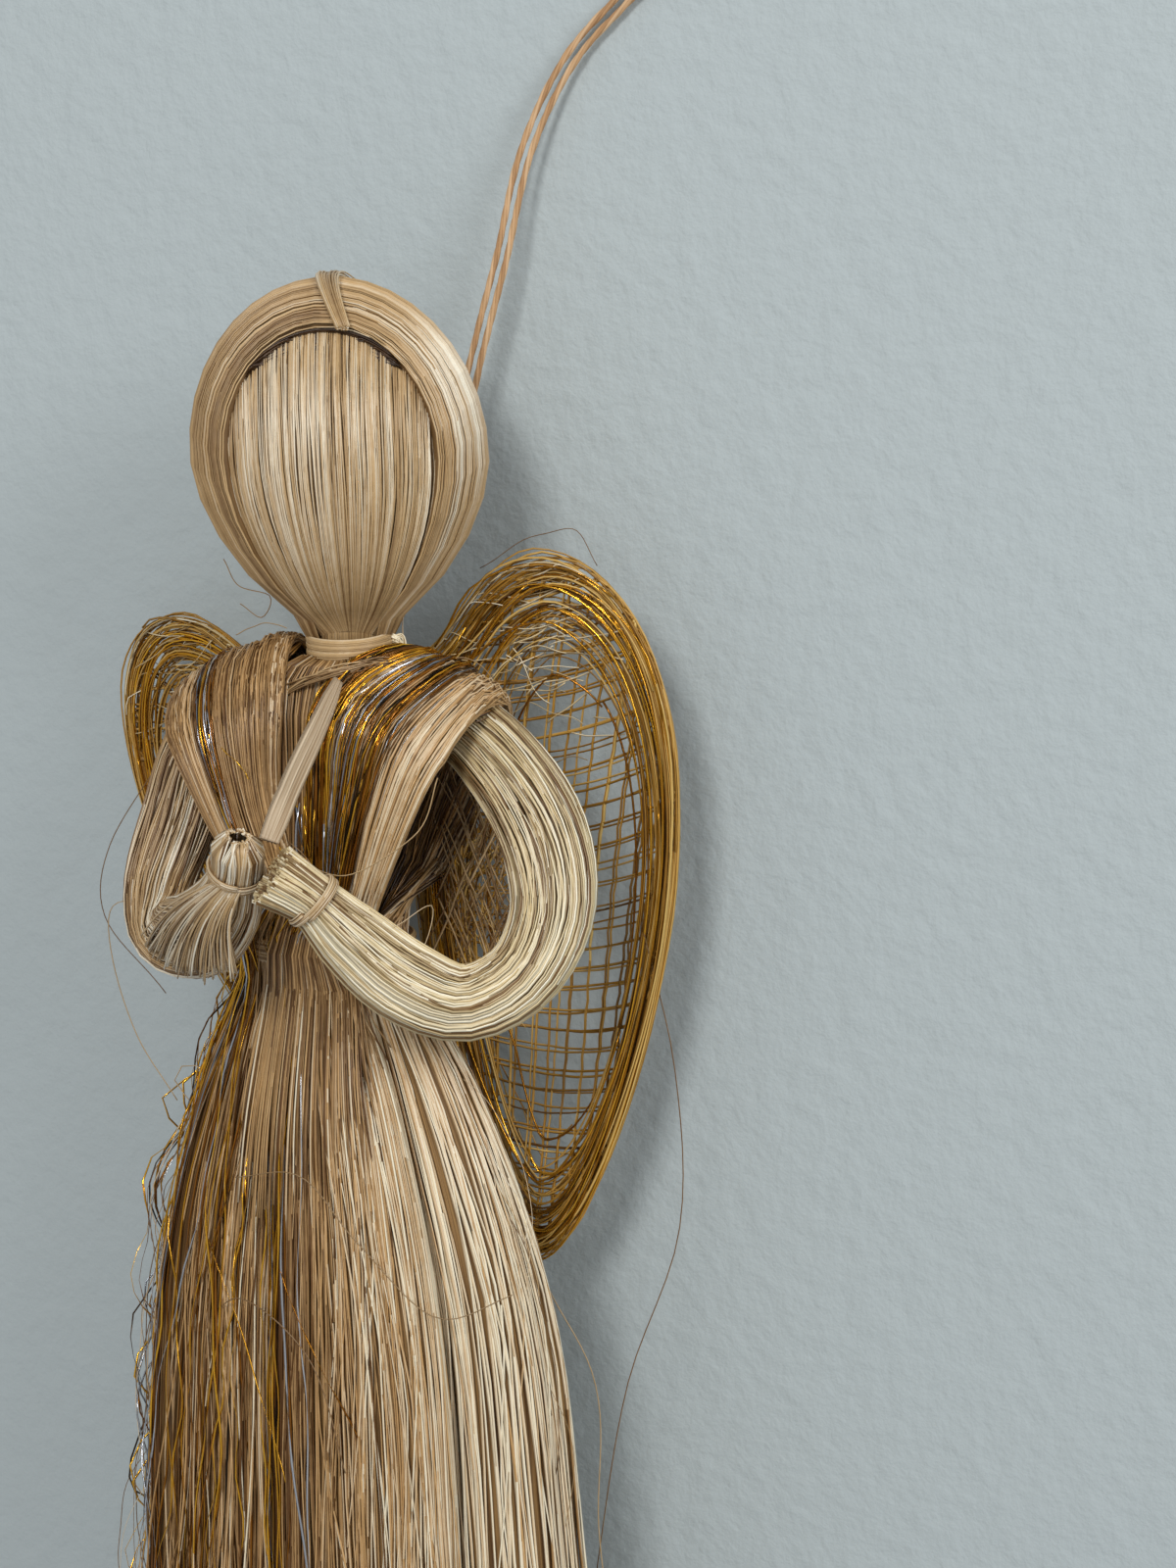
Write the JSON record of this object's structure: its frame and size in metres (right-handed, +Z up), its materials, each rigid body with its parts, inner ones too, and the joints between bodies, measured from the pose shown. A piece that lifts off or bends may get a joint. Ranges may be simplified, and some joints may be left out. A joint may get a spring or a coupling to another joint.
{
  "type": "hanging straw angel ornament",
  "caption": "Hanging angel of tied straw hanks with a hooded egg-shaped head, joined hands, a long loose skirt and two cupped open-weave wings",
  "frame": {"origin": "top of the hanging loop, where it hooks on; the angel hangs below it", "axes": "+Z up, the angel's chest faces -Y, and +X is on the right when it is seen from the front; the wall lies on the +Y side"},
  "size_m": [0.0686, 0.0442, 0.2159],
  "materials": {
    "golden_straw": "combed straw fibre with a silky sheen, tinsel among it",
    "pale_straw": "pale combed straw fibre with a silky sheen",
    "wing_net": "open-weave fibre cloth with gold metallic threads",
    "loop_twine": "matt brown twine"
  },
  "bodies": {
    "root": {"core_hank": "golden_straw", "hair_hank": "golden_straw", "parting_tie": "golden_straw", "neck_binding": "pale_straw", "arms_hank": "pale_straw", "left_wrist_binding": "pale_straw", "right_wrist_binding": "pale_straw", "right_shoulder_hank": "golden_straw", "left_shoulder_hank": "golden_straw", "waist_binding": "golden_straw", "hand_strip": "pale_straw", "wing_tie": "golden_straw", "right_wing": "wing_net", "left_wing": "wing_net", "hanging_loop": "loop_twine"}
  },
  "joints": []
}
